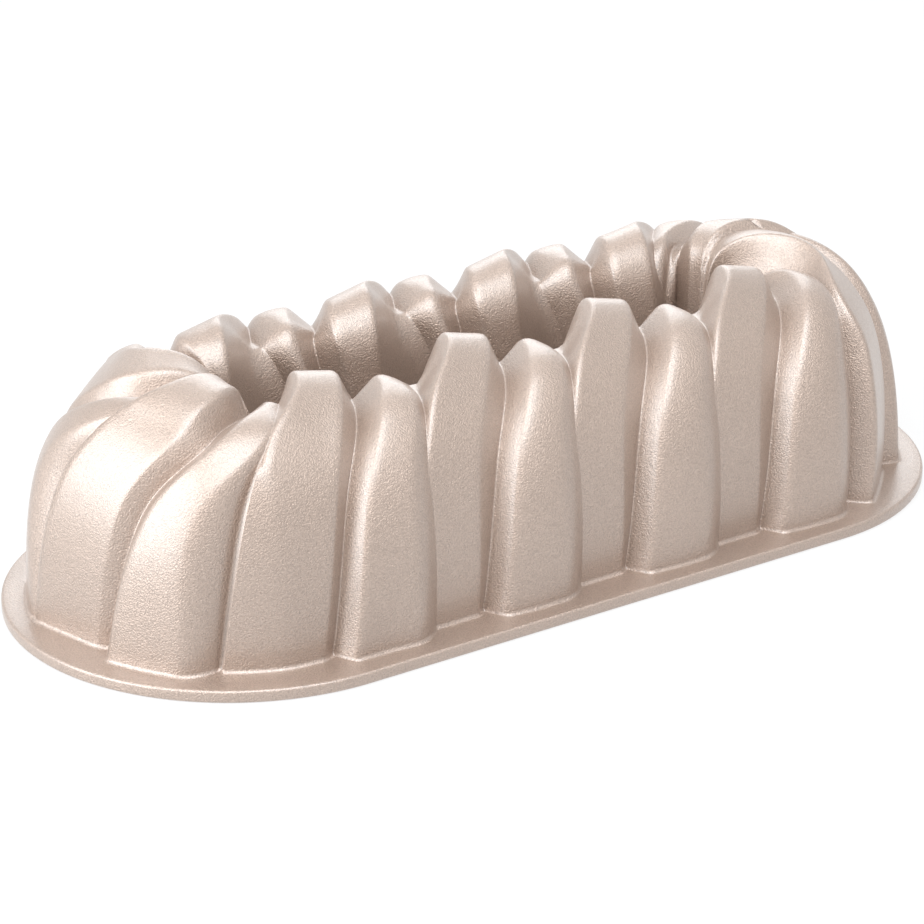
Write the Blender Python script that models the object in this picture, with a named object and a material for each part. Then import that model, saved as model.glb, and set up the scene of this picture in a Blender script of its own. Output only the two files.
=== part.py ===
"""Long babka pan, cast in one piece: a fluted ring mould on a flat rim, round an open centre well.

Metres, +Z up. The pan stands as it is stored, with its rim on the table and its crest up.
The origin is on the table under the middle, +X runs along the pan and +Y across it.

The wall is an arch that runs from the foot, over the crest and down into the well. Its place
is given by a level: 0 at the foot, 1 on the crest and 2 at the end of the well. At each level
a path runs round the pan on the arch, and the flutes rise from that path. Each pair of flutes
is a wide one and a narrow one to its right, parted by a deep crease, and the pairs lean as
they climb. The sides carry evenly spaced pairs, and two more pairs turn round each end.
"""
import bisect
import math

import bmesh
import bpy

MM = 0.001

# Plan of the arch: straight sides closed by round ends
STRAIGHT_LENGTH = 201.4 * MM
FOOT_HALF_WIDTH = 64.9 * MM
CREST_HALF_WIDTH = 30.0 * MM
WELL_HALF_WIDTH = 18.8 * MM

# Heights above the table
RIM_THICKNESS = 4.4 * MM
CREST_HEIGHT = 76.0 * MM
WELL_END_HEIGHT = 3.0 * MM

# Casting
WALL = 3.5 * MM
RIM_LAND = 8.0 * MM
RIM_EDGE_ROUNDING = 1.0 * MM
FOOT_FILLET = 1.6 * MM

# How far the arch's outline keeps its direction at each of its ends, as a share of its span
FOOT_RISE = 0.82
SHOULDER_REACH = 0.54
CREST_REACH = 0.22
WELL_RISE = 0.78

# Flutes along a side and round an end
PAIRS_ON_A_SIDE = 4
PAIRS_ON_AN_END = 2
PAIRS_IN_HALF = PAIRS_ON_A_SIDE + PAIRS_ON_AN_END
FIRST_CREASE_LEAD = 4.0 * MM
LAST_CREASE_BACK = 25.1 * MM
FAR_SIDE_SHIFT = 4.6 * MM

# Levels of the flutes' sections: foot, wall, shoulder, outer crest, inner crest, well mouth, well end
STATIONS = (0.0, 0.4, 0.75, 0.95, 1.2, 1.5, 2.0)
LEAN = (0.0, 10.4, 23.9, 29.3, 33.2, 32.7, 27.5)

# Narrow flute, measured to the right of its deep crease
NARROW_RIDGE = (4.0, 5.1, 7.6, 10.2, 8.6, 6.5, 5.5)
NARROW_SHOULDER = (27.7, 19.5, 19.6, 16.5, 14.0, 11.0, 8.6)
NARROW_FOOT = (41.4, 35.9, 28.0, 24.2, 22.4, 18.6, 12.2)
NARROW_RIDGE_HEIGHT = (8.4, 5.8, 9.0, 6.8, 3.3, 4.2, 4.6)
NARROW_SHOULDER_HEIGHT = (9.5, 9.3, 8.2, 5.6, 2.8, 3.4, 4.1)
NARROW_FALL = (1.80, 1.69, 1.43, 1.25, 1.06, 1.19, 1.20)

# Wide flute, measured to the left of the same crease
WIDE_RIDGE = (32.4, 32.4, 31.9, 21.0, 15.0, 16.9, 19.5)
WIDE_SHOULDER_ON_SIDE = (3.4, 10.5, 9.6, 7.0, 2.4, 4.9, 9.1)
WIDE_SHOULDER_ON_END = (4.5, 6.4, 7.4, 5.0, 2.9, 3.1, 5.4)
WIDE_FOOT = (37.5, 36.5, 37.8, 33.8, 30.2, 32.6, 37.3)
WIDE_RIDGE_HEIGHT_ON_SIDE = (3.2, 5.5, 9.7, 13.7, 15.0, 12.2, 7.3)
WIDE_RIDGE_HEIGHT_ON_END = (9.6, 9.0, 9.0, 12.6, 15.0, 13.6, 10.0)
WIDE_SHOULDER_HEIGHT = (2.8, 4.8, 6.6, 9.6, 11.7, 9.9, 7.4)

# Where the creases on each end lie between the last crease of one side and the first of the next
RIGHT_END_CREASES = (
    (0.338, 0.340, 0.358, 0.425, 0.520, 0.590, 0.620),
    (0.678, 0.670, 0.650, 0.625, 0.625, 0.645, 0.700),
)
LEFT_END_CREASES = (
    (0.358, 0.312, 0.325, 0.312, 0.320, 0.340, 0.385),
    (0.648, 0.652, 0.654, 0.617, 0.548, 0.535, 0.535),
)

# Fineness of the mesh
WALL_STEPS = 13
WELL_STEPS = 11
INNER_STEPS = 10
WELD = 0.02 * MM

FINISH_COLOUR = (0.56, 0.44, 0.38, 1.0)


def clear_scene():
    """Remove the objects that the file starts with."""
    for thing in list(bpy.data.objects):
        bpy.data.objects.remove(thing, do_unlink=True)


def between_stations(values, level):
    """Smooth value at a level, through the values at the stations."""
    last = len(STATIONS) - 1
    spans = [STATIONS[i + 1] - STATIONS[i] for i in range(last)]
    slopes = [(values[i + 1] - values[i]) / spans[i] for i in range(last)]
    i = min(max(bisect.bisect_right(STATIONS, level) - 1, 0), last - 1)

    def tangent(j):
        if j == 0 or j == last:
            return slopes[min(j, last - 1)]
        return (spans[j] * slopes[j - 1] + spans[j - 1] * slopes[j]) / (spans[j - 1] + spans[j])

    t = (level - STATIONS[i]) / spans[i]
    start = (2 * t ** 3 - 3 * t ** 2 + 1) * values[i] + (t ** 3 - 2 * t ** 2 + t) * spans[i] * tangent(i)
    end = (3 * t ** 2 - 2 * t ** 3) * values[i + 1] + (t ** 3 - t ** 2) * spans[i] * tangent(i + 1)
    return start + end


def bezier(points, t):
    """Point and unit direction of a cubic curve."""
    a, b, c, d = points
    u = 1 - t
    place = [u ** 3 * a[i] + 3 * u * u * t * b[i] + 3 * u * t * t * c[i] + t ** 3 * d[i] for i in (0, 1)]
    along = [u * u * (b[i] - a[i]) + 2 * u * t * (c[i] - b[i]) + t * t * (d[i] - c[i]) for i in (0, 1)]
    length = math.hypot(*along)
    return place, (along[0] / length, along[1] / length)


def arch(level):
    """Half width, height and outward direction of the arch at a level."""
    crest = (CREST_HALF_WIDTH, CREST_HEIGHT)
    if level <= 1:
        rise = CREST_HEIGHT - RIM_THICKNESS
        reach = FOOT_HALF_WIDTH - CREST_HALF_WIDTH
        points = (
            (FOOT_HALF_WIDTH, RIM_THICKNESS),
            (FOOT_HALF_WIDTH, RIM_THICKNESS + FOOT_RISE * rise),
            (CREST_HALF_WIDTH + SHOULDER_REACH * reach, CREST_HEIGHT),
            crest,
        )
        place, along = bezier(points, level)
    else:
        drop = CREST_HEIGHT - WELL_END_HEIGHT
        reach = CREST_HALF_WIDTH - WELL_HALF_WIDTH
        points = (
            crest,
            (CREST_HALF_WIDTH - CREST_REACH * reach, CREST_HEIGHT),
            (WELL_HALF_WIDTH, WELL_END_HEIGHT + WELL_RISE * drop),
            (WELL_HALF_WIDTH, WELL_END_HEIGHT),
        )
        place, along = bezier(points, level - 1)
    return place, (along[1], -along[0])


class Level:
    """One level of the arch, with its path round the pan and the flutes on it."""

    def __init__(self, level):
        (self.width, self.height), self.outward = arch(level)
        self.half_path = STRAIGHT_LENGTH + math.pi * self.width
        narrow = (NARROW_RIDGE, NARROW_SHOULDER, NARROW_FOOT, NARROW_RIDGE_HEIGHT, NARROW_SHOULDER_HEIGHT)
        wide_on_side = (
            WIDE_RIDGE, WIDE_SHOULDER_ON_SIDE, WIDE_FOOT, WIDE_RIDGE_HEIGHT_ON_SIDE, WIDE_SHOULDER_HEIGHT)
        wide_on_end = (
            WIDE_RIDGE, WIDE_SHOULDER_ON_END, WIDE_FOOT, WIDE_RIDGE_HEIGHT_ON_END, WIDE_SHOULDER_HEIGHT)
        self.narrow = [between_stations(values, level) * MM for values in narrow]
        self.wide_on_side = [between_stations(values, level) * MM for values in wide_on_side]
        self.wide_on_end = [between_stations(values, level) * MM for values in wide_on_end]
        self.narrow_fall = between_stations(NARROW_FALL, level)
        self.creases = self.crease_places(level)

    def crease_places(self, level):
        """Deep creases along the path, with one more lap of them before it and one after it."""
        pitch = (STRAIGHT_LENGTH + FIRST_CREASE_LEAD - LAST_CREASE_BACK) / (PAIRS_ON_A_SIDE - 1)
        first = between_stations(LEAN, level) * MM - FIRST_CREASE_LEAD
        again = first + 2 * self.half_path
        near_side = [first + number * pitch for number in range(PAIRS_ON_A_SIDE)]
        far_side = [place + self.half_path + FAR_SIDE_SHIFT for place in near_side]
        lap = near_side + self.end_creases(level, RIGHT_END_CREASES, near_side[-1], far_side[0])
        lap += far_side + self.end_creases(level, LEFT_END_CREASES, far_side[-1], again)
        return [place + turn * 2 * self.half_path for turn in (-1, 0, 1) for place in lap]

    def end_creases(self, level, shares, last, first):
        """Deep creases round an end, between the last one of a side and the first one of the next."""
        return [last + between_stations(share, level) * (first - last) for share in shares]

    def on_end(self, number):
        """Whether a pair has the shape of those on the ends: it stands on one or comes next to it."""
        return number % PAIRS_IN_HALF in (0, *range(PAIRS_ON_A_SIDE, PAIRS_IN_HALF))

    def bow(self, low, high, run):
        """How far a flat facet lies inside the curve of an end, between its two edges."""
        return max(self.outward[0], 0) * (run - low) * (high - run) / (2 * self.width)

    def narrow_height(self, number, place):
        """Height of a narrow flute at a place on the path."""
        ridge, shoulder, foot, ridge_height, shoulder_height = self.narrow
        run = place - self.creases[number]
        if run <= 0 or run >= foot:
            return 0.0
        if run < ridge:
            return ridge_height * run / ridge
        if run < shoulder:
            share = (run - ridge) / (shoulder - ridge)
            bow = self.bow(ridge, shoulder, run) if self.on_end(number) else 0
            return ridge_height + share * (shoulder_height - ridge_height) - bow
        return shoulder_height * (1 - ((run - shoulder) / (foot - shoulder)) ** self.narrow_fall)

    def wide_height(self, number, place):
        """Height of a wide flute at a place on the path."""
        on_end = self.on_end(number)
        ridge, shoulder, foot, ridge_height, shoulder_height = (
            self.wide_on_end if on_end else self.wide_on_side)
        run = self.creases[number] - place
        if run <= 0 or run >= foot:
            return 0.0
        if run > ridge:
            return ridge_height * (foot - run) / (foot - ridge)
        if run > shoulder:
            share = (run - shoulder) / (ridge - shoulder)
            bow = self.bow(shoulder, ridge, run) if on_end else 0
            return shoulder_height + share * (ridge_height - shoulder_height) - bow
        return shoulder_height * run / shoulder

    def flute_height(self, place):
        """Height of the flutes over the arch at a place on the path."""
        before = bisect.bisect_right(self.creases, place)
        height = 0.0
        for number in range(max(before - 3, 0), min(before + 3, len(self.creases))):
            height = max(height, self.narrow_height(number, place), self.wide_height(number, place))
        return height

    def mould_depth(self, place):
        """Height of the mould side over the arch: the flutes with the wall's thickness taken off."""
        steps = (-1.0, -0.85, -0.6, -0.3, 0.0, 0.3, 0.6, 0.85, 1.0)
        return min(
            self.flute_height(place + step * WALL) - WALL * math.sqrt(1 - step * step) for step in steps)

    def shallow_crease(self, number):
        """Where the wide flute of a pair comes out from under the narrow flute before it."""
        covered = self.creases[number - 1]
        clear = min(covered + self.narrow[2], self.creases[number])
        step = (clear - covered) / 24
        for count in range(1, 24):
            place = clear - count * step
            if self.narrow_height(number - 1, place) > self.wide_height(number, place):
                covered = place
                clear = place + step
                break
        while clear - covered > WELD:
            middle = (covered + clear) / 2
            if self.narrow_height(number - 1, middle) > self.wide_height(number, middle):
                covered = middle
            else:
                clear = middle
        return clear

    def columns(self):
        """Places on the path, in order, that draw every flute."""
        places = []
        for number in range(2 * PAIRS_IN_HALF, 4 * PAIRS_IN_HALF):
            crease = self.creases[number]
            start = self.shallow_crease(number)
            end = self.shallow_crease(number + 1)
            ridge, shoulder, _, _, _ = self.wide_on_end if self.on_end(number) else self.wide_on_side
            runs = (ridge, (ridge + shoulder) / 2, shoulder, shoulder / 2)
            places.append(start)
            places += [max(crease - run, start) for run in runs]
            places.append(crease)
            ridge, shoulder, _, _, _ = self.narrow
            runs = [ridge / 2, ridge, (ridge + shoulder) / 2, shoulder]
            runs += [shoulder + share * (end - crease - shoulder) for share in (0.45, 0.75)]
            places += [min(crease + run, end) for run in runs]
        return places

    def point(self, place, height):
        """Point over a place on the path, at a height over the arch."""
        lap = math.floor(place / self.half_path)
        run = place - lap * self.half_path
        side = 1 if lap % 2 == 0 else -1
        out = self.width + height * self.outward[0]
        z = self.height + height * self.outward[1]
        if run <= STRAIGHT_LENGTH:
            x = run - STRAIGHT_LENGTH / 2
            y = -out
        else:
            angle = (run - STRAIGHT_LENGTH) / self.width
            x = STRAIGHT_LENGTH / 2 + out * math.sin(angle)
            y = -out * math.cos(angle)
        return (side * x, side * y, z)


def at_height(point, height):
    """The same point, moved straight up or down to a height."""
    return (point[0], point[1], height)


def pushed_out(level, place, height, distance, z):
    """Point beside the wall, moved out from the pan's middle line and set at a height."""
    return at_height(level.point(place, height + distance), z)


def section_rows():
    """Closed rows of points, each once round the pan, that together go once round the casting."""
    foot = Level(0.0)
    foot_places = foot.columns()
    foot_heights = [foot.flute_height(place) for place in foot_places]
    mouth_depths = [foot.mould_depth(place) for place in foot_places]
    rim_reach = max(foot_heights) + RIM_LAND
    rows = []

    def rim_row(reach, z):
        rows.append([pushed_out(foot, place, 0.0, reach, z) for place in foot_places])

    rows.append([
        pushed_out(foot, place, depth, 0.0, 0.0) for place, depth in zip(foot_places, mouth_depths)])
    rim_row(rim_reach - RIM_EDGE_ROUNDING, 0.0)
    rim_row(rim_reach, RIM_EDGE_ROUNDING)
    rim_row(rim_reach, RIM_THICKNESS - RIM_EDGE_ROUNDING)
    rim_row(rim_reach - RIM_EDGE_ROUNDING, RIM_THICKNESS)
    rows.append([
        pushed_out(foot, place, height, FOOT_FILLET, RIM_THICKNESS)
        for place, height in zip(foot_places, foot_heights)])
    rows.append([
        pushed_out(foot, place, height, 0.0, RIM_THICKNESS + FOOT_FILLET)
        for place, height in zip(foot_places, foot_heights)])

    outside = [step / WALL_STEPS for step in range(1, WALL_STEPS)]
    outside += [1 + step / WELL_STEPS for step in range(WELL_STEPS)]
    for value in outside:
        level = Level(value)
        rows.append([level.point(place, level.flute_height(place)) for place in level.columns()])
    well_end = Level(2.0)
    end_places = well_end.columns()
    rows.append([
        at_height(well_end.point(place, well_end.flute_height(place)), WELL_END_HEIGHT)
        for place in end_places])
    rows.append([
        at_height(well_end.point(place, well_end.mould_depth(place)), WELL_END_HEIGHT)
        for place in end_places])
    for step in range(INNER_STEPS - 1, 0, -1):
        level = Level(2 * step / INNER_STEPS)
        rows.append([level.point(place, level.mould_depth(place)) for place in level.columns()])
    rows.append([
        pushed_out(foot, place, depth, 0.0, RIM_THICKNESS)
        for place, depth in zip(foot_places, mouth_depths)])
    return rows


def casting_mesh(name):
    """Skin the rows into one closed body."""
    rows = section_rows()
    shape = bmesh.new()
    grid = [[shape.verts.new(point) for point in row] for row in rows]
    across = len(grid)
    around = len(grid[0])
    for i in range(across):
        here = grid[i]
        above = grid[(i + 1) % across]
        for j in range(around):
            k = (j + 1) % around
            shape.faces.new((here[j], here[k], above[k], above[j]))
    bmesh.ops.remove_doubles(shape, verts=shape.verts, dist=WELD)
    bmesh.ops.triangulate(shape, faces=shape.faces)
    mesh = bpy.data.meshes.new(name)
    shape.to_mesh(mesh)
    shape.free()
    mesh.shade_smooth()
    mesh.set_sharp_from_angle(angle=math.radians(28))
    return mesh


def cast_aluminium():
    """Satin champagne coating on cast aluminium."""
    material = bpy.data.materials.new("champagne_coated_aluminium")
    material.use_nodes = True
    shader = material.node_tree.nodes["Principled BSDF"]
    shader.inputs["Base Color"].default_value = FINISH_COLOUR
    shader.inputs["Metallic"].default_value = 0.85
    shader.inputs["Roughness"].default_value = 0.42
    return material


def main():
    clear_scene()
    pan = bpy.data.collections.new("babka_pan")
    bpy.context.scene.collection.children.link(pan)
    casting = bpy.data.objects.new("pan_casting", casting_mesh("pan_casting"))
    casting.data.materials.append(cast_aluminium())
    pan.objects.link(casting)


main()
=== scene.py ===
import math

import bpy
import numpy as np
from mathutils import Matrix, Vector


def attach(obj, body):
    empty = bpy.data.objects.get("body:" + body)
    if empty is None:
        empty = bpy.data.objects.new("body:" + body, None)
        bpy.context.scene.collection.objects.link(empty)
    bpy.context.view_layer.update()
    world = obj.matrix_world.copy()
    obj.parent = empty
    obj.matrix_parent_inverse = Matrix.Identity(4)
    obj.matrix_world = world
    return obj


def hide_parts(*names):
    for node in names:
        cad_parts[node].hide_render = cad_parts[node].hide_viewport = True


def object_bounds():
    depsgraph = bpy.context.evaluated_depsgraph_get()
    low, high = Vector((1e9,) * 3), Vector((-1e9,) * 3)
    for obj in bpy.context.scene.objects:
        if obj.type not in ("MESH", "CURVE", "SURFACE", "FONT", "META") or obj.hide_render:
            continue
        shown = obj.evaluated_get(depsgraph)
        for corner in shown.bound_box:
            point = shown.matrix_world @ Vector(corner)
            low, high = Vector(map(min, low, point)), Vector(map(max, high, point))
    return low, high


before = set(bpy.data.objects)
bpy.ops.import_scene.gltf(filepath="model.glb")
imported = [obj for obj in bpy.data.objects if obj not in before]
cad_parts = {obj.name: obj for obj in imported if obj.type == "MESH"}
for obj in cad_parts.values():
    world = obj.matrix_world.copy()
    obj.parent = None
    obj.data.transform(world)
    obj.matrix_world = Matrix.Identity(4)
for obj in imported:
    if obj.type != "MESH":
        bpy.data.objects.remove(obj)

cad_low, cad_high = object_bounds()

# The wall is an arch that runs from the foot, over the crest and down into the well. Its place is
# given by a level: 0 at the foot, 1 on the crest and 2 at the end of the well. At each level a path
# runs round the pan on the arch, and the flutes rise from that path. Each pair of flutes is a wide
# one and a narrow one to its right, parted by a deep crease. The driving sizes are the solid's,
# apart from a rounder inner crest, a few sections of the flutes and the well's drawn-in ends.

MM = 0.001

# Plan of the arch: straight sides closed by round ends
STRAIGHT_LENGTH = 201.4 * MM
FOOT_HALF_WIDTH = 64.9 * MM
CREST_HALF_WIDTH = 30.0 * MM
WELL_HALF_WIDTH = 18.8 * MM

# Heights above the table
RIM_THICKNESS = 4.4 * MM
CREST_HEIGHT = 76.0 * MM
WELL_END_HEIGHT = 3.0 * MM

# Casting
WALL = 3.5 * MM
RIM_EDGE_ROUNDING = 1.0 * MM
FOOT_FILLET = 1.6 * MM
WELL_LIP_ROUNDING = 0.8 * MM

# How far the arch's outline keeps its direction at each of its ends, as a share of its span
FOOT_RISE = 0.82
SHOULDER_REACH = 0.54
CREST_REACH = 0.5
WELL_RISE = 0.78

# Flutes along a side and round an end
PAIRS_ON_A_SIDE = 4
PAIRS_ON_AN_END = 2
PAIRS_IN_HALF = PAIRS_ON_A_SIDE + PAIRS_ON_AN_END
FIRST_CREASE_LEAD = 4.0 * MM
LAST_CREASE_BACK = 25.1 * MM
FAR_SIDE_SHIFT = 4.6 * MM

# Levels of the flutes' sections: foot, wall, shoulder, outer crest, inner crest, well mouth, well end
STATIONS = np.array((0.0, 0.4, 0.75, 0.95, 1.2, 1.5, 2.0))

# The flutes' sections in millimetres: the creases' lean along the path, narrow flutes measured to
# the right of their deep crease, and wide ones to the left of it. Pairs on the ends have their own
# sizes where a name says so.
LENGTHS = {
    "lean": (0.0, 10.4, 23.9, 29.3, 33.2, 32.7, 27.5),
    "narrow_ridge": (4.0, 4.5, 7.4, 10.2, 8.6, 6.5, 5.5),
    "narrow_shoulder": (27.7, 19.5, 19.6, 16.5, 14.0, 11.0, 8.6),
    "narrow_foot": (41.4, 35.9, 28.0, 24.2, 19.0, 14.5, 12.2),
    "narrow_foot_on_end": (41.4, 35.9, 28.0, 24.2, 22.4, 18.6, 12.2),
    "narrow_ridge_height": (8.4, 7.2, 8.6, 6.8, 4.8, 4.4, 4.6),
    "narrow_shoulder_height": (9.5, 9.3, 8.2, 5.6, 4.0, 3.7, 4.1),
    "wide_ridge": (32.4, 32.4, 31.9, 22.3, 18.0, 17.2, 19.5),
    "wide_shoulder": (3.4, 10.5, 9.6, 5.0, 2.6, 4.9, 9.1),
    "wide_shoulder_on_end": (4.5, 6.4, 7.4, 5.0, 2.9, 3.1, 5.4),
    "wide_foot": (37.5, 36.5, 37.8, 33.8, 34.0, 37.0, 38.0),
    "wide_foot_on_end": (37.5, 36.5, 37.8, 33.8, 30.2, 32.6, 37.3),
    "wide_ridge_height": (3.2, 5.5, 9.7, 13.7, 15.0, 12.2, 7.3),
    "wide_ridge_height_on_end": (9.6, 9.0, 9.0, 12.6, 15.0, 13.6, 10.0),
    "wide_shoulder_height": (2.8, 4.8, 6.6, 9.8, 11.6, 9.9, 7.4),
}

# Plain numbers at the same sections: the share of their bulge that the ends keep along the pan, the
# power of the narrow flutes' fall from shoulder to foot, and the creases on each end as shares of
# the way between those of the two sides
SHARES = {
    "end_reach": (1.0, 1.0, 1.0, 1.0, 0.55, 0.38, 0.38),
    "narrow_fall": (1.80, 1.69, 1.43, 1.25, 1.06, 1.19, 1.20),
    "right_crease_1": (0.338, 0.340, 0.358, 0.425, 0.520, 0.590, 0.620),
    "right_crease_2": (0.678, 0.670, 0.650, 0.625, 0.625, 0.645, 0.700),
    "left_crease_1": (0.358, 0.312, 0.325, 0.312, 0.320, 0.340, 0.385),
    "left_crease_2": (0.648, 0.652, 0.654, 0.617, 0.548, 0.535, 0.535),
}

# Rise of a narrow flute's broad facet in its middle
NARROW_CROWN = 0.7 * MM

# How far a narrow flute's fall is followed, where 1 is its foot
LONGEST_FALL = 1.5

# How far to each side of a ridge or a crease its rounding reaches, and the share of the way from a
# crease to its nearer ridge that this may take
RIDGE_ROUNDING = 2.2 * MM
CREASE_ROUNDING = 0.5 * MM
LARGEST_ROUNDING_SHARE = 0.6

# The grid of places on the path where a level's heights are worked out: its step, how far it
# reaches back before the path's start and on after one lap, and how far past a flute's foot the
# flute is followed. The wide flute at the left end of the near side reaches back further than the
# grid, and its outer part comes out flatter than its section.
GRID_STEP = 0.1 * MM
GRID_BEFORE = 20.0 * MM
GRID_AFTER = 80.0 * MM
FLUTE_MARGIN = 5.0 * MM

# How many samples find a rounding, the mould side and a shallow crease, and the height by which a
# narrow flute has to cover a wide one to hide it
ROUNDING_SAMPLES = 11
WALL_SAMPLES = 25
CREASE_SAMPLES = 600
LEAST_COVER = 0.001 * MM

# Rows of the mesh: up the outside, down the well, over the mould side and round each edge. The
# outside's first row lies this many fillets up.
WALL_ROWS = 52
WELL_ROWS = 40
INNER_ROWS = 30
EDGE_STEPS = 5
FILLET_STEPS = 7
LIP_STEPS = 3
FIRST_ROW_IN_FILLETS = 1.5

# Columns of the mesh: how many between a pair's features, how evenly spaced they are, where 1 is
# even, and the least gap between two features
STEPS_BETWEEN_FEATURES = (8, 10, 8, 9, 9, 9)
EVENNESS = 0.2
LEAST_GAP = 0.8 * MM

# Champagne coating: tint of the sandy grain and of the broad, faint clouds over it
GRAIN_DARK = (0.345, 0.25, 0.197, 1)
GRAIN_PALE = (0.485, 0.362, 0.292, 1)
CLOUD_DARK = (0.955, 0.95, 0.945, 1)
CLOUD_PALE = (1, 1, 1, 1)

# Floor, a little under the rim, and the share of plain white in it as the camera and shiny surfaces
# see it
FLOOR_SIZE = 12.0
FLOOR_DROP = 0.2 * MM
FLOOR_GREY = (0.93, 0.93, 0.93, 1)
FLOOR_PALE = (0.97, 0.97, 0.97, 1)
FLOOR_WHITE_SHARE = 0.8

# Light: the room's colour and strength, and each lamp's place, target, width and power
ROOM_COLOUR = (1.0, 0.99, 0.98, 1)
ROOM_STRENGTH = 0.45
LAMP_COLOUR = (0.90, 0.96, 1.0)
LAMPS = {
    "overhead": ((-0.25, -0.5, 1.15), (0, 0, 0.04), 1.1, 14.5),
    "left": ((-1.25, 0.1, 0.55), (0, 0, 0.05), 1.2, 19.0),
    "back": ((0.75, 1.1, 0.7), (0, 0, 0.05), 0.9, 5.0),
}

# The photograph's camera: lens and sensor in millimetres, angles in degrees, lengths in metres. The
# frame's origin is seen this far right and up of the picture's middle.
CAMERA_LENS = 130.3
CAMERA_SENSOR = 36.0
CAMERA_AZIMUTH = 34.4965
CAMERA_ELEVATION = 23.1501
CAMERA_ROLL = 0.0698
CAMERA_DISTANCE = 1.20646
ORIGIN_RIGHT = 0.00716
ORIGIN_UP = -0.02333
NEAREST_SEEN = 0.05
FARTHEST_SEEN = 50.0


def through_stations(values, level):
    """Smooth value at a level, through the values at the stations."""
    values = np.asarray(values, float)
    spans = np.diff(STATIONS)
    slopes = np.diff(values) / spans
    tangents = np.empty(len(values))
    tangents[0] = slopes[0]
    tangents[-1] = slopes[-1]
    tangents[1:-1] = (spans[1:] * slopes[:-1] + spans[:-1] * slopes[1:]) / (spans[1:] + spans[:-1])
    i = int(np.clip(np.searchsorted(STATIONS, level, side="right") - 1, 0, len(spans) - 1))
    t = (level - STATIONS[i]) / spans[i]
    start = (2 * t ** 3 - 3 * t ** 2 + 1) * values[i] + (t ** 3 - 2 * t ** 2 + t) * spans[i] * tangents[i]
    end = (3 * t ** 2 - 2 * t ** 3) * values[i + 1] + (t ** 3 - t ** 2) * spans[i] * tangents[i + 1]
    return start + end


def bezier(points, t):
    """Point and unit direction of a cubic curve."""
    a, b, c, d = (np.asarray(point, float) for point in points)
    u = 1 - t
    place = u ** 3 * a + 3 * u * u * t * b + 3 * u * t * t * c + t ** 3 * d
    along = u * u * (b - a) + 2 * u * t * (c - b) + t * t * (d - c)
    return place, along / np.linalg.norm(along)


def arch(level):
    """Half width and height of the arch at a level, and its outward direction there."""
    crest = (CREST_HALF_WIDTH, CREST_HEIGHT)
    if level <= 1:
        rise = CREST_HEIGHT - RIM_THICKNESS
        reach = FOOT_HALF_WIDTH - CREST_HALF_WIDTH
        outside = (
            (FOOT_HALF_WIDTH, RIM_THICKNESS),
            (FOOT_HALF_WIDTH, RIM_THICKNESS + FOOT_RISE * rise),
            (CREST_HALF_WIDTH + SHOULDER_REACH * reach, CREST_HEIGHT),
            crest,
        )
        place, along = bezier(outside, level)
    else:
        drop = CREST_HEIGHT - WELL_END_HEIGHT
        reach = CREST_HALF_WIDTH - WELL_HALF_WIDTH
        inside = (
            crest,
            (CREST_HALF_WIDTH - CREST_REACH * reach, CREST_HEIGHT),
            (WELL_HALF_WIDTH, WELL_END_HEIGHT + WELL_RISE * drop),
            (WELL_HALF_WIDTH, WELL_END_HEIGHT),
        )
        place, along = bezier(inside, level - 1)
    return place, np.array((along[1], -along[0]))


def window(count):
    """Offsets between -1 and 1, and weights for them that add up to one."""
    offsets = np.linspace(-1, 1, count + 2)[1:-1]
    weights = np.cos(offsets * math.pi / 2) ** 2
    return offsets, weights / weights.sum()


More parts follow.
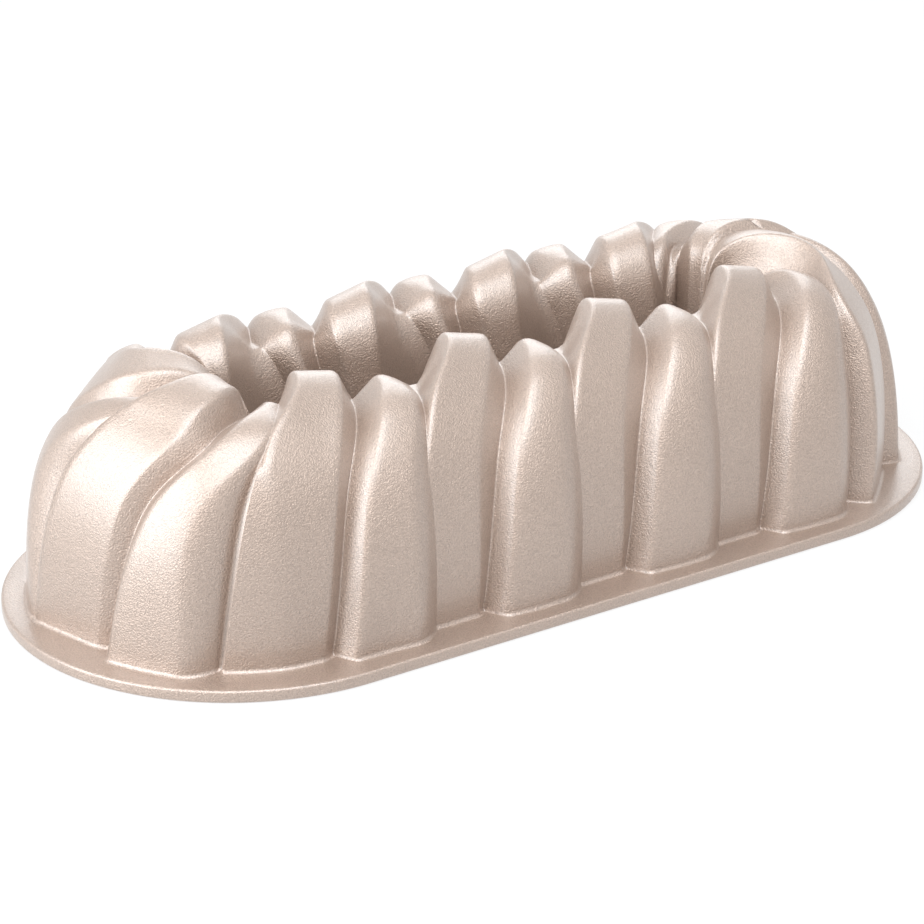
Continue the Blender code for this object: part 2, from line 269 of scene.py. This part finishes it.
class Level:
    """One level of the arch, with its path round the pan and the flutes on it."""

    def __init__(self, level):
        (self.width, self.height), self.outward = arch(level)
        self.half_path = STRAIGHT_LENGTH + math.pi * self.width
        self.sizes = {name: through_stations(values, level) * MM for name, values in LENGTHS.items()}
        self.sizes.update((name, through_stations(values, level)) for name, values in SHARES.items())
        self.creases = self.crease_places()
        self.grid = np.arange(-GRID_BEFORE, 2 * self.half_path + GRID_AFTER, GRID_STEP)
        self.heights = self.rounded_heights()

    def crease_places(self):
        """Deep creases on one lap of the path, with those of the lap before and the lap after."""
        sizes = self.sizes
        pitch = (STRAIGHT_LENGTH + FIRST_CREASE_LEAD - LAST_CREASE_BACK) / (PAIRS_ON_A_SIDE - 1)
        first = sizes["lean"] - FIRST_CREASE_LEAD
        near_side = [first + number * pitch for number in range(PAIRS_ON_A_SIDE)]
        far_side = [place + self.half_path + FAR_SIDE_SHIFT for place in near_side]
        turn = far_side[0] - near_side[-1]
        right_end = [near_side[-1] + sizes["right_crease_" + number] * turn for number in "12"]
        turn = first + 2 * self.half_path - far_side[-1]
        left_end = [far_side[-1] + sizes["left_crease_" + number] * turn for number in "12"]
        lap = near_side + right_end + far_side + left_end
        return [place + turns * 2 * self.half_path for turns in (-1, 0, 1) for place in lap]

    def on_end(self, number):
        """Whether a pair has the shape of those on the ends: it stands on one or comes next to it."""
        return number % PAIRS_IN_HALF in (0, *range(PAIRS_ON_A_SIDE, PAIRS_IN_HALF))

    def own(self, name, number):
        """A size of one pair, where the pairs on the ends have their own."""
        return self.sizes[name + "_on_end" if self.on_end(number) else name]

    def bow(self, low, high, run):
        """How far a flat facet lies inside the curve of an end, between its two edges."""
        inside = np.clip(run - low, 0, None) * np.clip(high - run, 0, None)
        return max(self.outward[0], 0) * inside / (2 * self.width)

    def narrow_profile(self, number, run):
        """Height of a narrow flute, at runs to the right of its deep crease."""
        sizes = self.sizes
        ridge, shoulder = self.narrow_edges()
        foot = self.own("narrow_foot", number)
        ridge_height = sizes["narrow_ridge_height"]
        shoulder_height = sizes["narrow_shoulder_height"]
        share = (run - ridge) / (shoulder - ridge)
        crown = NARROW_CROWN * 4 * np.clip(share, 0, 1) * np.clip(1 - share, 0, 1)
        facet = ridge_height + share * (shoulder_height - ridge_height) + crown
        if self.on_end(number):
            facet = facet - self.bow(ridge, shoulder, run)
        fallen = np.clip((run - shoulder) / (foot - shoulder), 0, LONGEST_FALL) ** sizes["narrow_fall"]
        beyond = np.where(run < shoulder, facet, shoulder_height * (1 - fallen))
        return np.where(run < ridge, ridge_height * run / ridge, beyond)

    def wide_profile(self, number, run):
        """Height of a wide flute, at runs to the left of its deep crease."""
        shoulder, ridge = self.wide_edges(number)
        foot = self.own("wide_foot", number)
        ridge_height = self.own("wide_ridge_height", number)
        shoulder_height = self.sizes["wide_shoulder_height"]
        share = (run - shoulder) / (ridge - shoulder)
        facet = shoulder_height + share * (ridge_height - shoulder_height)
        if self.on_end(number):
            facet = facet - self.bow(shoulder, ridge, run)
        beyond = np.where(run < ridge, facet, ridge_height * (foot - run) / (foot - ridge))
        return np.where(run < shoulder, shoulder_height * run / shoulder, beyond)

    def narrow_edges(self):
        """Runs of a narrow flute's two edges, the nearer one to its crease first."""
        return self.sizes["narrow_ridge"], self.sizes["narrow_shoulder"]

    def wide_edges(self, number):
        """Runs of a wide flute's two edges, the nearer one to its crease first."""
        return self.own("wide_shoulder", number), self.sizes["wide_ridge"]

    def rounding(self, edges, runs):
        """How far the rounding reaches at each run, less at an edge that is close to the crease."""
        nearer, farther = edges
        near_reach = min(RIDGE_ROUNDING, LARGEST_ROUNDING_SHARE * nearer)
        return np.where(runs < (nearer + farther) / 2, near_reach, RIDGE_ROUNDING)

    def rounded_heights(self):
        """Height of the flutes over the arch on the grid, with rounded ridges and creases."""
        heights = np.zeros(len(self.grid))
        reach = max(self.sizes["narrow_foot"], self.sizes["wide_foot"]) + FLUTE_MARGIN
        offsets, weights = window(ROUNDING_SAMPLES)
        for number, crease in enumerate(self.creases):
            low, high = np.searchsorted(self.grid, (crease - reach, crease + reach))
            if low < high:
                run = self.grid[low:high] - crease
                for profile, edges, runs in (
                        (self.narrow_profile, self.narrow_edges(), run),
                        (self.wide_profile, self.wide_edges(number), -run)):
                    rounding = self.rounding(edges, runs)
                    flute = sum(w * profile(number, runs + o * rounding) for o, w in zip(offsets, weights))
                    heights[low:high] = np.maximum(heights[low:high], flute)
        half = round(CREASE_ROUNDING / GRID_STEP)
        weights = window(2 * half - 1)[1]
        return np.convolve(np.pad(heights, half - 1, mode="edge"), weights, mode="valid")

    def flute_height(self, place):
        """Height of the flutes over the arch at places on the path, level past the grid's ends."""
        return np.interp(place, self.grid, self.heights)

    def mould_depth(self, place):
        """Height of the mould side over the arch: the flutes with the wall's thickness taken off."""
        steps = np.sin(np.linspace(-0.5, 0.5, WALL_SAMPLES) * math.pi)
        depths = [
            self.flute_height(place + step * WALL) - WALL * math.sqrt(max(1 - step * step, 0))
            for step in steps]
        return np.min(depths, axis=0)

    def shallow_crease(self, number):
        """Where the wide flute of a pair comes out from under the narrow flute before it."""
        before = self.creases[number - 1]
        after = self.creases[number]
        narrow_end = min(before + self.own("narrow_foot", number - 1), after)
        places = np.linspace(before, narrow_end, CREASE_SAMPLES)
        narrow = np.maximum(self.narrow_profile(number - 1, places - before), 0)
        wide = np.maximum(self.wide_profile(number, after - places), 0)
        gap = narrow - wide
        covered = np.flatnonzero(gap > LEAST_COVER)
        if len(covered) == 0:
            return before
        last = covered[-1]
        if last == len(places) - 1:
            return places[-1]
        return places[last] + (places[last + 1] - places[last]) * gap[last] / (gap[last] - gap[last + 1])

    def pair_features(self, number):
        """Places of a pair's edges and creases, in order and never closer than the least gap."""
        crease = self.creases[number]
        shoulder, ridge = self.wide_edges(number)
        start = self.shallow_crease(number)
        ridge_place = max(crease - ridge, start + LEAST_GAP)
        shoulder_place = max(crease - shoulder, ridge_place + LEAST_GAP)
        ridge, shoulder = self.narrow_edges()
        last = min(crease + shoulder, self.shallow_crease(number + 1) - LEAST_GAP)
        return [start, ridge_place, shoulder_place, crease, min(crease + ridge, last - LEAST_GAP), last]

    def columns(self):
        """Places on the path, in order, closest together at the flutes' edges and creases."""
        features = []
        for number in range(2 * PAIRS_IN_HALF, 4 * PAIRS_IN_HALF):
            features += self.pair_features(number)
        features.append(features[0] + 2 * self.half_path)
        places = []
        for i in range(len(features) - 1):
            count = STEPS_BETWEEN_FEATURES[i % len(STEPS_BETWEEN_FEATURES)]
            even = np.arange(count) / count
            eased = (1 - np.cos(even * math.pi)) / 2
            share = EVENNESS * even + (1 - EVENNESS) * eased
            places.append(features[i] + (features[i + 1] - features[i]) * share)
        return np.concatenate(places)

    def points(self, place, height, wall=0.0):
        """Points over places on the path, at heights over the arch.

        The ends are drawn in along the pan to their end reach. Points on the mould side name the
        wall over them, which keeps its thickness there.
        """
        lap = np.floor(place / self.half_path)
        run = place - lap * self.half_path
        side = np.where(lap % 2 == 0, 1.0, -1.0)
        out = self.width + height * self.outward[0]
        angle = np.clip((run - STRAIGHT_LENGTH) / self.width, 0, None)
        end_reach = self.sizes["end_reach"]
        bulge = out * end_reach - (1 - end_reach) * wall * self.outward[0]
        x = np.minimum(run, STRAIGHT_LENGTH) - STRAIGHT_LENGTH / 2 + bulge * np.sin(angle)
        y = -out * np.cos(angle)
        z = self.height + height * self.outward[1]
        return np.stack((side * x, side * y, z), axis=1)


def at_height(points, height):
    """The same points, moved straight up or down to a height."""
    moved = points.copy()
    moved[:, 2] = height
    return moved


def quarter(steps):
    """Sines and cosines of a quarter turn, ends included."""
    angles = np.linspace(0, math.pi / 2, steps + 1)
    return list(zip(np.sin(angles), np.cos(angles)))


def rim_rows():
    """Rows round the rim's outer edge, over its top and up the fillet at the flutes' foot."""
    foot = Level(0.0)
    places = foot.columns()
    heights = foot.flute_height(places)
    reach = min(cad_high.x, -cad_low.x) - STRAIGHT_LENGTH / 2 - FOOT_HALF_WIDTH
    edge = RIM_EDGE_ROUNDING
    turn = quarter(EDGE_STEPS)
    outline = [(reach - edge * (1 - sine), edge * (1 - cosine)) for sine, cosine in turn]
    outline += [(reach - edge * (1 - cosine), RIM_THICKNESS - edge * (1 - sine)) for sine, cosine in turn]
    rows = [at_height(foot.points(places, np.full(len(places), out)), z) for out, z in outline]
    fillet = FOOT_FILLET
    toe = at_height(foot.points(places, heights + fillet), RIM_THICKNESS)
    rows.append((rows[-1] + toe) / 2)
    for sine, cosine in quarter(FILLET_STEPS):
        rise = fillet * (1 - cosine)
        rows.append(at_height(foot.points(places, heights + fillet * (1 - sine)), RIM_THICKNESS + rise))
    return rows


def outer_rows():
    """Rows up the outside from the fillet to the crest, and down the well to its end."""
    climb = 3 * FOOT_RISE * (CREST_HEIGHT - RIM_THICKNESS)
    first = FIRST_ROW_IN_FILLETS * FOOT_FILLET / climb
    numbers = [first + (1 - first) * step / WALL_ROWS for step in range(1, WALL_ROWS)]
    numbers += [1 + step / WELL_ROWS for step in range(WELL_ROWS)]
    rows = []
    for number in numbers:
        level = Level(number)
        places = level.columns()
        rows.append(level.points(places, level.flute_height(places)))
    return rows


def lip_rows():
    """Rows round the well's lip, from its outside to the mould side."""
    end = Level(2.0)
    places = end.columns()
    outer = end.flute_height(places)
    inner = end.mould_depth(places)
    lip = WELL_LIP_ROUNDING
    rows = []
    for sine, cosine in quarter(LIP_STEPS):
        row = end.points(places, outer - lip * (1 - cosine))
        rows.append(at_height(row, WELL_END_HEIGHT + lip * (1 - sine)))
    for sine, cosine in quarter(LIP_STEPS):
        row = end.points(places, inner + lip * (1 - sine), WALL)
        rows.append(at_height(row, WELL_END_HEIGHT + lip * (1 - cosine)))
    return rows


def mould_rows():
    """Rows over the mould side, from the well's lip to the inner edge of the rim's underside."""
    rows = []
    for step in range(INNER_ROWS - 1, 0, -1):
        level = Level(2 * step / INNER_ROWS)
        places = level.columns()
        rows.append(level.points(places, level.mould_depth(places), WALL))
    foot = Level(0.0)
    places = foot.columns()
    depths = foot.mould_depth(places)
    edge = RIM_EDGE_ROUNDING
    rows.append(at_height(foot.points(places, depths), RIM_THICKNESS))
    for sine, cosine in quarter(LIP_STEPS):
        rows.append(at_height(foot.points(places, depths + edge * (1 - cosine)), edge * (1 - sine)))
    return rows


def casting_mesh():
    """The casting's fine surface: rows once round the pan that together go once round its wall."""
    rows = rim_rows() + outer_rows() + lip_rows() + mould_rows()
    around = len(rows[0])
    across = len(rows)
    points = np.concatenate(rows)
    i, j = np.meshgrid(np.arange(across), np.arange(around), indexing="ij")
    k = (j + 1) % around
    up = (i + 1) % across
    faces = np.stack((i * around + j, i * around + k, up * around + k, up * around + j), axis=-1)
    mesh = bpy.data.meshes.new("pan_surface")
    mesh.from_pydata(points.tolist(), [], faces.reshape(-1, 4).tolist())
    mesh.validate()
    mesh.shade_smooth()
    return mesh


class Look:
    """A material with a Principled shader, and short ways to add nodes to it."""

    def __init__(self, name):
        self.material = bpy.data.materials.new(name)
        self.material.use_nodes = True
        self.tree = self.material.node_tree
        self.tree.nodes.clear()
        self.output = self.add("OutputMaterial")
        self.shader = self.add("BsdfPrincipled")
        self.link(self.shader.outputs["BSDF"], self.output.inputs["Surface"])

    def link(self, source, target):
        """Link an output to an input."""
        self.tree.links.new(source, target)

    def add(self, kind, links=None, **values):
        """A new node, with its properties or inputs set and other nodes' outputs linked to it."""
        node = self.tree.nodes.new("ShaderNode" + kind)
        for key, value in values.items():
            if hasattr(node, key):
                setattr(node, key, value)
            else:
                node.inputs[key.replace("_", " ")].default_value = value
        for key, source in (links or {}).items():
            self.link(source, node.inputs[key])
        return node

    def noise(self, place, **values):
        """A noise between 0 and 1 over the places."""
        return self.add("TexNoise", {"Vector": place}, **values).outputs["Fac"]

    def ramp(self, source, low, high):
        """A colour that blends from one stop to another, each a position and its colour."""
        node = self.add("ValToRGB", {"Fac": source})
        for element, (position, colour) in zip(node.color_ramp.elements, (low, high)):
            element.position = position
            element.color = colour
        return node.outputs["Color"]


def champagne_coating():
    """Champagne metallic coating over cast aluminium, with the sandy grain of the casting."""
    look = Look("champagne_coated_aluminium")
    shader = look.shader
    place = look.add("TexCoord").outputs["Object"]
    sand = look.noise(place, Scale=1750.0, Detail=1.0, Roughness=0.5)
    peel = look.noise(place, Scale=420.0, Detail=2.0, Roughness=0.5)
    cloud = look.noise(place, Scale=28.0, Detail=3.0, Roughness=0.55)

    tint = look.ramp(sand, (0.30, GRAIN_DARK), (0.72, GRAIN_PALE))
    wash = look.ramp(cloud, (0.35, CLOUD_DARK), (0.65, CLOUD_PALE))
    colour = look.add("Mix", data_type="RGBA", blend_type="MULTIPLY")
    colour.inputs["Factor"].default_value = 1.0
    look.link(tint, colour.inputs[6])
    look.link(wash, colour.inputs[7])
    look.link(colour.outputs[2], shader.inputs["Base Color"])

    rough = look.add("MapRange", {"Value": peel}, From_Min=0.3, From_Max=0.7, To_Min=0.36, To_Max=0.46)
    look.link(rough.outputs["Result"], shader.inputs["Roughness"])

    coarse = look.add("Bump", {"Height": peel}, Strength=0.35, Distance=0.08 * MM)
    under = coarse.outputs["Normal"]
    fine = look.add("Bump", {"Height": sand, "Normal": under}, Strength=1.0, Distance=0.45 * MM)
    look.link(fine.outputs["Normal"], shader.inputs["Normal"])
    shader.inputs["Metallic"].default_value = 0.6
    shader.inputs["Coat Weight"].default_value = 1.0
    shader.inputs["Coat Roughness"].default_value = 0.35
    shader.inputs["Coat IOR"].default_value = 2.0
    return look.material


def seen_directly(tree):
    """1 on rays from the camera and on those that a shiny or clear surface sends on, otherwise 0."""
    rays = tree.nodes.new("ShaderNodeLightPath")
    result = rays.outputs["Is Camera Ray"]
    for name in ("Is Glossy Ray", "Is Transmission Ray"):
        either = tree.nodes.new("ShaderNodeMath")
        either.operation = "MAXIMUM"
        tree.links.new(result, either.inputs[0])
        tree.links.new(rays.outputs[name], either.inputs[1])
        result = either.outputs["Value"]
    return result


def floor_material():
    """Pale floor that reads as white and still takes the pan's shadow."""
    look = Look("studio_floor")
    place = look.add("TexCoord").outputs["Object"]
    cloud = look.noise(place, Scale=6.0, Detail=2.0, Roughness=0.5)
    tone = look.ramp(cloud, (0, FLOOR_GREY), (1, FLOOR_PALE))
    look.link(tone, look.shader.inputs["Base Color"])
    look.shader.inputs["Roughness"].default_value = 0.9
    white = look.add("Emission")
    share = look.add("Math", {"Value": seen_directly(look.tree)}, operation="MULTIPLY")
    share.inputs[1].default_value = FLOOR_WHITE_SHARE
    choose = look.add("MixShader", {"Fac": share.outputs["Value"]})
    look.link(look.shader.outputs["BSDF"], choose.inputs[1])
    look.link(white.outputs["Emission"], choose.inputs[2])
    look.link(choose.outputs["Shader"], look.output.inputs["Surface"])
    return look.material


def add_floor():
    """A wide floor just under the rim."""
    bpy.ops.mesh.primitive_plane_add(size=FLOOR_SIZE, location=(0, 0, -FLOOR_DROP))
    floor = bpy.context.object
    floor.name = "studio_floor"
    floor.data.materials.append(floor_material())
    return floor


def add_object(name, data):
    """A new object, linked to the scene."""
    added = bpy.data.objects.new(name, data)
    bpy.context.scene.collection.objects.link(added)
    return added


def camera_axes():
    """Right, up and viewing directions of the photograph's camera."""
    azimuth, elevation, roll = (
        math.radians(angle) for angle in (CAMERA_AZIMUTH, CAMERA_ELEVATION, CAMERA_ROLL))
    view = Vector((
        math.sin(azimuth) * math.cos(elevation),
        math.cos(azimuth) * math.cos(elevation),
        -math.sin(elevation)))
    level_right = view.cross(Vector((0, 0, 1))).normalized()
    level_up = level_right.cross(view)
    right = math.cos(roll) * level_right + math.sin(roll) * level_up
    up = math.cos(roll) * level_up - math.sin(roll) * level_right
    return right, up, view


def add_camera():
    """The camera of the photograph."""
    right, up, view = camera_axes()
    data = bpy.data.cameras.new("camera")
    data.lens = CAMERA_LENS
    data.sensor_width = CAMERA_SENSOR
    data.clip_start = NEAREST_SEEN
    data.clip_end = FARTHEST_SEEN
    camera = add_object("camera", data)
    place = -CAMERA_DISTANCE * view - ORIGIN_RIGHT * right - ORIGIN_UP * up
    turn = Matrix((right, up, -view)).transposed().to_4x4()
    camera.matrix_world = Matrix.Translation(place) @ turn
    bpy.context.scene.camera = camera


def add_area_light(name, place, target, size, power):
    """A soft square lamp that looks at a target."""
    data = bpy.data.lights.new(name, "AREA")
    data.shape = "SQUARE"
    data.size = size
    data.energy = power
    data.color = LAMP_COLOUR
    lamp = add_object(name, data)
    lamp.location = place
    lamp.rotation_mode = "QUATERNION"
    lamp.rotation_quaternion = (Vector(target) - Vector(place)).to_track_quat("-Z", "Y")


def add_room():
    """A pale room that lights the pan, seen as plain white."""
    world = bpy.data.worlds.new("studio")
    bpy.context.scene.world = world
    world.use_nodes = True
    tree = world.node_tree
    tree.nodes.clear()
    output = tree.nodes.new("ShaderNodeOutputWorld")
    room = tree.nodes.new("ShaderNodeBackground")
    room.inputs["Color"].default_value = ROOM_COLOUR
    room.inputs["Strength"].default_value = ROOM_STRENGTH
    white = tree.nodes.new("ShaderNodeBackground")
    white.inputs["Color"].default_value = (1, 1, 1, 1)
    white.inputs["Strength"].default_value = 1.0
    choose = tree.nodes.new("ShaderNodeMixShader")
    tree.links.new(seen_directly(tree), choose.inputs[0])
    tree.links.new(room.outputs["Background"], choose.inputs[1])
    tree.links.new(white.outputs["Background"], choose.inputs[2])
    tree.links.new(choose.outputs["Shader"], output.inputs["Surface"])


def add_lights():
    """Plain soft studio light: the room, and broad lamps over the pan, to its left and behind it."""
    add_room()
    for name, settings in LAMPS.items():
        add_area_light(name, *settings)


casting = add_object("pan_casting_surface", casting_mesh())
casting.data.materials.append(champagne_coating())
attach(casting, "root")
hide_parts("pan_casting")

floor = add_floor()
add_camera()
add_lights()
bpy.context.scene.view_settings.view_transform = "Standard"
